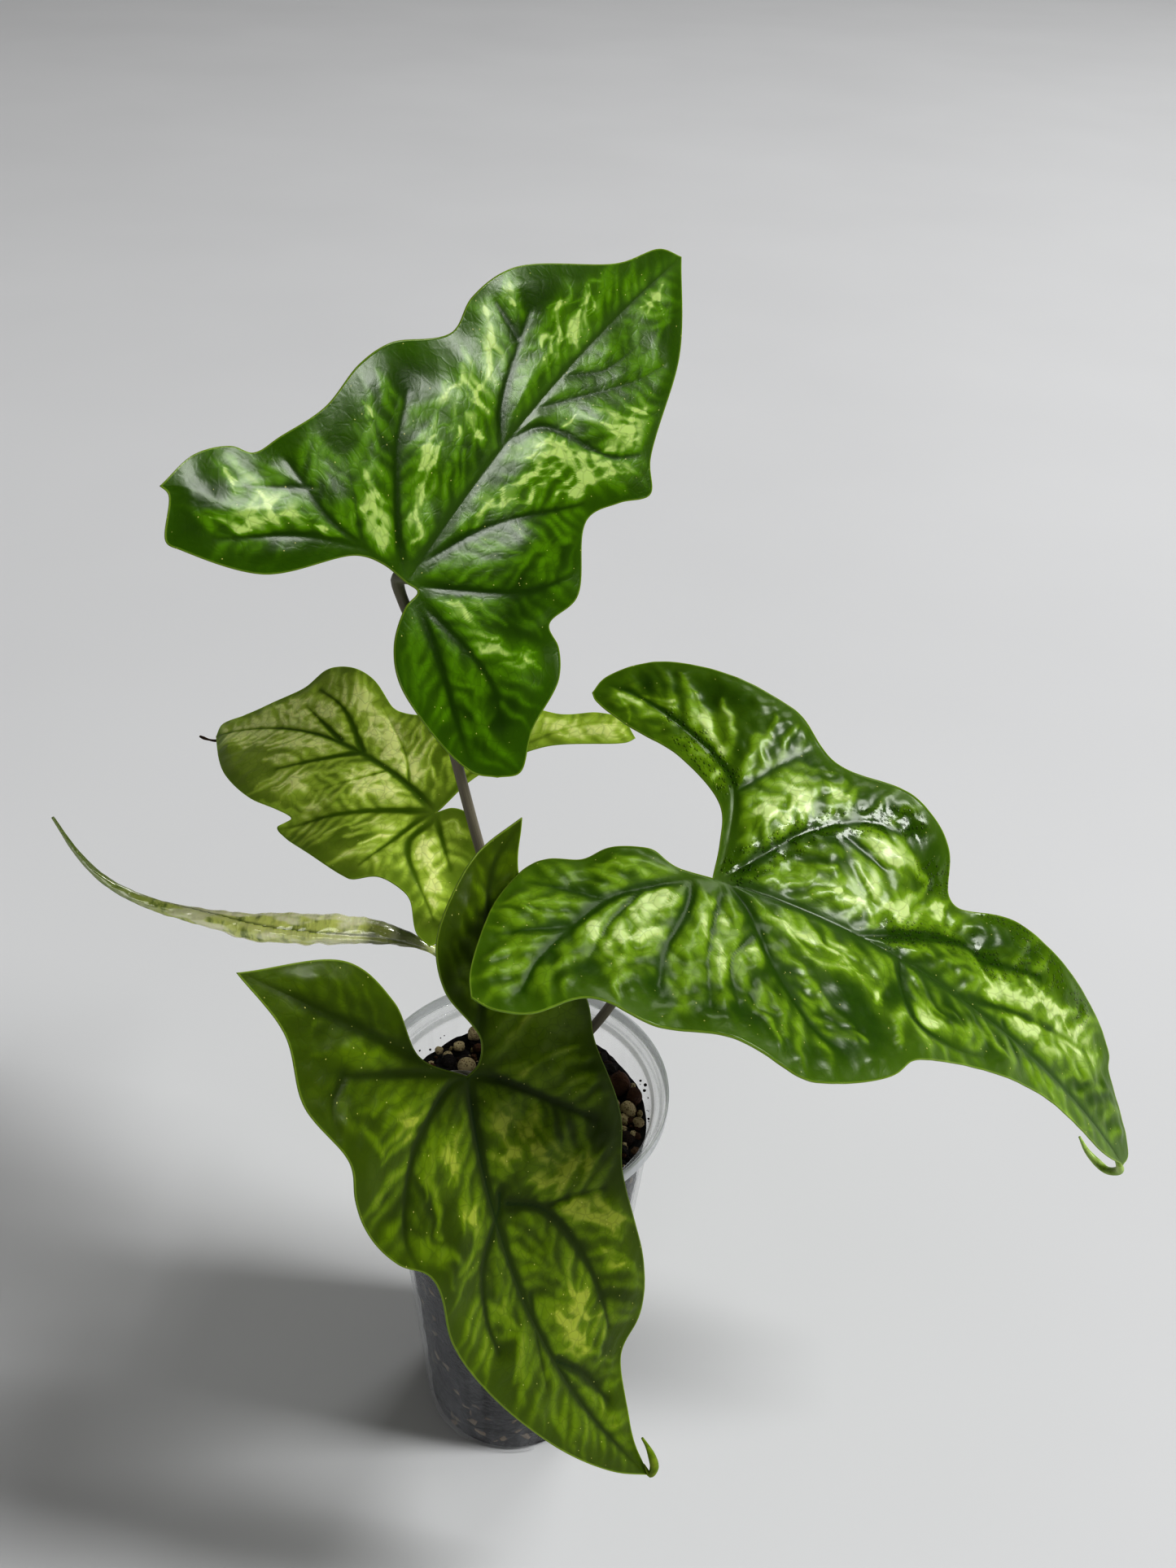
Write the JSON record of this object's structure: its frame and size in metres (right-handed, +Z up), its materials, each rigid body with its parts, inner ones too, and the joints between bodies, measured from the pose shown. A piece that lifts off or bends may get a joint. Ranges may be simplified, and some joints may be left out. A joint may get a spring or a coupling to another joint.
{
  "type": "potted cercestis mirabilis",
  "caption": "Young aroid with arrow-shaped, cream-marked leaves and a rolled new leaf, growing in a tall clear nursery pot.",
  "frame": {"origin": "middle of the pot's foot, on the surface it stands on", "axes": "+Z up, +Y away from the viewer, +X to the viewer's right"},
  "size_m": [0.3202, 0.225, 0.3671],
  "materials": {
    "clear_plastic": "clear, slightly frosted plastic",
    "potting_mix": "rough dark bark and charcoal with tan pumice",
    "stem": "green-brown, matt",
    "petiole": "grey-brown, satin",
    "dark_green_blade": "glossy dark green with cream streaks",
    "pale_green_blade": "soft satin yellow-green with green veins",
    "bright_green_blade": "wet, glossy green with cream streaks",
    "olive_green_blade": "satin olive green with pale streaks",
    "new_leaf": "glossy pale yellow-green, mottled"
  },
  "bodies": {
    "root": {"pot": "clear_plastic", "potting_mix": "potting_mix", "stem": "stem", "leaf_top_petiole": "petiole", "leaf_top_blade": "dark_green_blade", "leaf_back_petiole": "petiole", "leaf_back_blade": "pale_green_blade", "leaf_right_petiole": "petiole", "leaf_right_blade": "bright_green_blade", "leaf_front_petiole": "petiole", "leaf_front_blade": "olive_green_blade", "new_leaf_rolled": "new_leaf"}
  },
  "joints": []
}
